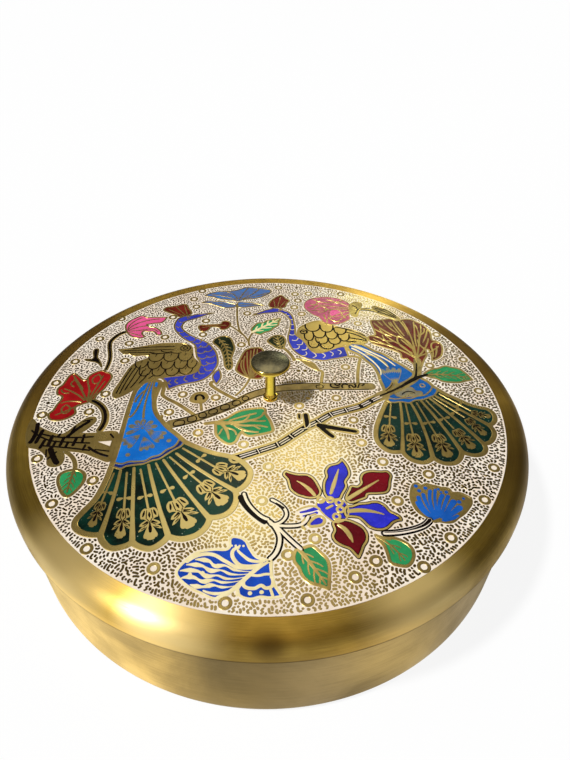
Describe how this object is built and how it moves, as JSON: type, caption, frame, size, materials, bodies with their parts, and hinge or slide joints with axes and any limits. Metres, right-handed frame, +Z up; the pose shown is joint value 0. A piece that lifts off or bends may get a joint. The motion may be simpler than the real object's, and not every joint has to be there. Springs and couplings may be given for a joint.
{
  "type": "spice box",
  "caption": "Round flat brass box with a lift-off lid, an enamelled bird and flower panel and a small mushroom knob, holding loose cups and a spoon.",
  "frame": {"origin": "centre of the flat base, on the surface that the box stands on", "axes": "+Z up along the box's axis, -Y towards the side seen in the picture"},
  "size_m": [0.2, 0.2, 0.0657],
  "materials": {
    "lid_brass": "satin, brushed round the axis",
    "tub_brass": "satin, paler, brushed round the axis",
    "enamel": "white and coloured glossy enamel between brass lines",
    "knob_brass": "polished",
    "cup_brass": "satin",
    "spoon_brass": "polished",
    "fastener_brass": "plain"
  },
  "bodies": {
    "tub": {"tub": "tub_brass"},
    "lid": {"lid": "lid_brass", "enamel_panel": "enamel", "knob": "knob_brass", "knob_washer": "fastener_brass", "knob_nut": "fastener_brass"},
    "cup_centre": {"cup_centre": "cup_brass"},
    "cup_1": {"cup_1": "cup_brass"},
    "cup_2": {"cup_2": "cup_brass"},
    "cup_3": {"cup_3": "cup_brass"},
    "cup_4": {"cup_4": "cup_brass"},
    "cup_5": {"cup_5": "cup_brass"},
    "cup_6": {"cup_6": "cup_brass"},
    "spoon": {"spoon": "spoon_brass"}
  },
  "joints": [
    {"name": "lid_lift", "type": "slide", "parent": "tub", "child": "lid", "axis": [0, 0, 1], "range_m": [0, 0.12]},
    {"name": "cup_centre_lift", "type": "slide", "parent": "tub", "child": "cup_centre", "axis": [0, 0, 1], "range_m": [0, 0.06]},
    {"name": "cup_1_lift", "type": "slide", "parent": "tub", "child": "cup_1", "axis": [0, 0, 1], "range_m": [0, 0.06]},
    {"name": "cup_2_lift", "type": "slide", "parent": "tub", "child": "cup_2", "axis": [0, 0, 1], "range_m": [0, 0.06]},
    {"name": "cup_3_lift", "type": "slide", "parent": "tub", "child": "cup_3", "axis": [0, 0, 1], "range_m": [0, 0.06]},
    {"name": "cup_4_lift", "type": "slide", "parent": "tub", "child": "cup_4", "axis": [0, 0, 1], "range_m": [0, 0.06]},
    {"name": "cup_5_lift", "type": "slide", "parent": "tub", "child": "cup_5", "axis": [0, 0, 1], "range_m": [0, 0.06]},
    {"name": "cup_6_lift", "type": "slide", "parent": "tub", "child": "cup_6", "axis": [0, 0, 1], "range_m": [0, 0.06]},
    {"name": "spoon_lift", "type": "slide", "parent": "tub", "child": "spoon", "axis": [0, 0, 1], "range_m": [0, 0.09]}
  ],
  "couplings": [
    {"joint": "cup_centre_lift", "follows": "lid_lift", "ratio": 0.5},
    {"joint": "cup_1_lift", "follows": "lid_lift", "ratio": 0.5},
    {"joint": "cup_2_lift", "follows": "lid_lift", "ratio": 0.5},
    {"joint": "cup_3_lift", "follows": "lid_lift", "ratio": 0.5},
    {"joint": "cup_4_lift", "follows": "lid_lift", "ratio": 0.5},
    {"joint": "cup_5_lift", "follows": "lid_lift", "ratio": 0.5},
    {"joint": "cup_6_lift", "follows": "lid_lift", "ratio": 0.5},
    {"joint": "spoon_lift", "follows": "lid_lift", "ratio": 0.75}
  ]
}
